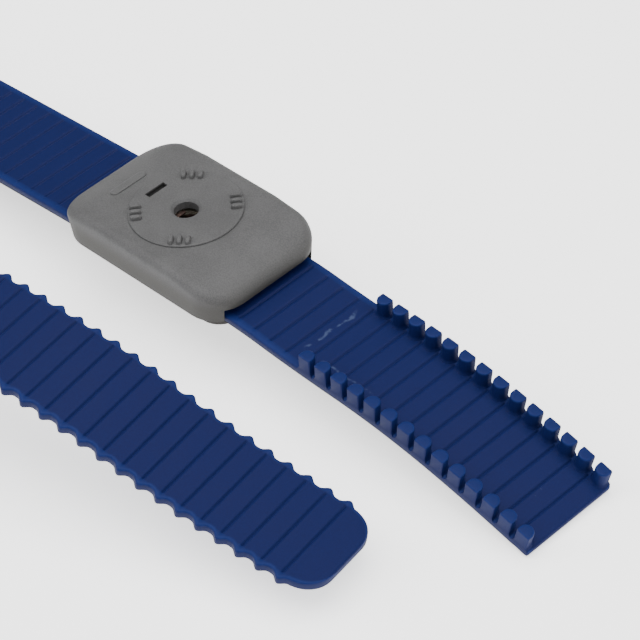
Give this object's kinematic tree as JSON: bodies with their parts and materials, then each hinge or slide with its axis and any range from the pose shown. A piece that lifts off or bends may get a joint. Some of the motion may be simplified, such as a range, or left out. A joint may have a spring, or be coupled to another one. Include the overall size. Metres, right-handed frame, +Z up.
{
  "type": "esd wrist strap",
  "caption": "Anti-static wrist strap: a grey socket housing on a long blue moulded band with a row-of-posts clasp and a scalloped tail, lying curled back beside itself.",
  "frame": {"origin": "centre of the bounding box at the level it rests on", "axes": "+X from the tail's turn towards the clasp, +Y across the band away from the tail, +Z up out of the socket face"},
  "size_m": [0.182, 0.0654, 0.0319],
  "materials": {
    "cover": "fine grained moulding",
    "base": "matte moulding",
    "barrel": "satin",
    "band": "satin flexible moulding",
    "liner": "matte conductive",
    "contact": "bright copper alloy",
    "rivet": "plated"
  },
  "bodies": {
    "housing": {"housing_cover": "cover", "housing_base": "base", "socket_barrel": "barrel", "socket_sleeve": "contact", "contact_plate_clasp": "contact", "contact_plate_tail": "contact", "rivet_clasp_front": "rivet", "rivet_clasp_back": "rivet", "rivet_tail_front": "rivet", "rivet_tail_back": "rivet", "clasp_band_root": "band", "clasp_liner_root": "liner", "tail_band_root": "band", "tail_liner_root": "liner"},
    "contact_leaf": {"contact_leaf": "contact"},
    "clasp_mid": {"clasp_band_mid": "band", "clasp_liner_mid": "liner"},
    "clasp_end": {"clasp_band_end": "band", "clasp_liner_end": "liner"},
    "tail_leg": {"tail_band_leg": "band", "tail_liner_leg": "liner"},
    "tail_turn": {"tail_band_turn": "band", "tail_liner_turn": "liner"},
    "tail_return": {"tail_band_return": "band", "tail_liner_return": "liner"},
    "tail_scallops_near": {"tail_scallops_root": "band"},
    "tail_scallops_far": {"tail_scallops_end": "band"}
  },
  "joints": [
    {"name": "clasp_root_flex", "type": "hinge", "parent": "housing", "child": "clasp_mid", "pos_m": [0.03275, 0.02014, 0.01022], "axis": [0, 1, 0], "range_deg": [-20, 20], "stiffness_Nm_per_rad": 0.15},
    {"name": "clasp_mid_flex", "type": "hinge", "parent": "clasp_mid", "child": "clasp_end", "pos_m": [0.06631, 0.02014, 0.00693], "axis": [0, 1, 0], "range_deg": [-14, 35], "stiffness_Nm_per_rad": 0.15},
    {"name": "tail_root_flex", "type": "hinge", "parent": "housing", "child": "tail_leg", "pos_m": [-0.01912, 0.02014, 0.01045], "axis": [0, -1, 0], "range_deg": [-12, 12], "stiffness_Nm_per_rad": 0.15},
    {"name": "turn_start_flex", "type": "hinge", "parent": "tail_leg", "child": "tail_turn", "pos_m": [-0.07989, 0.02007, 0.00984], "axis": [0.0474, -0.1, 0.9939], "range_deg": [-15, 2], "stiffness_Nm_per_rad": 0.15},
    {"name": "turn_end_flex", "type": "hinge", "parent": "tail_turn", "child": "tail_return", "pos_m": [-0.0696, -0.01352, 0.01647], "axis": [-0.1654, 0.1666, 0.9721], "range_deg": [-15, 2], "stiffness_Nm_per_rad": 0.15},
    {"name": "tail_start_flex", "type": "hinge", "parent": "tail_return", "child": "tail_scallops_near", "pos_m": [-0.01491, -0.02419, 0.02354], "axis": [-0.0798, 0.8322, 0.5488], "range_deg": [-25, 25], "stiffness_Nm_per_rad": 0.15},
    {"name": "tail_mid_flex", "type": "hinge", "parent": "tail_scallops_near", "child": "tail_scallops_far", "pos_m": [0.02886, -0.01866, 0.0178], "axis": [-0.1561, 0.9877, 0.0125], "range_deg": [-25, 25], "stiffness_Nm_per_rad": 0.15},
    {"name": "contact_leaf_flex", "type": "hinge", "parent": "housing", "child": "contact_leaf", "pos_m": [0.00514, 0.01354, 0.01241], "axis": [-1, 0, 0], "range_deg": [0, 5], "stiffness_Nm_per_rad": 0.01}
  ]
}
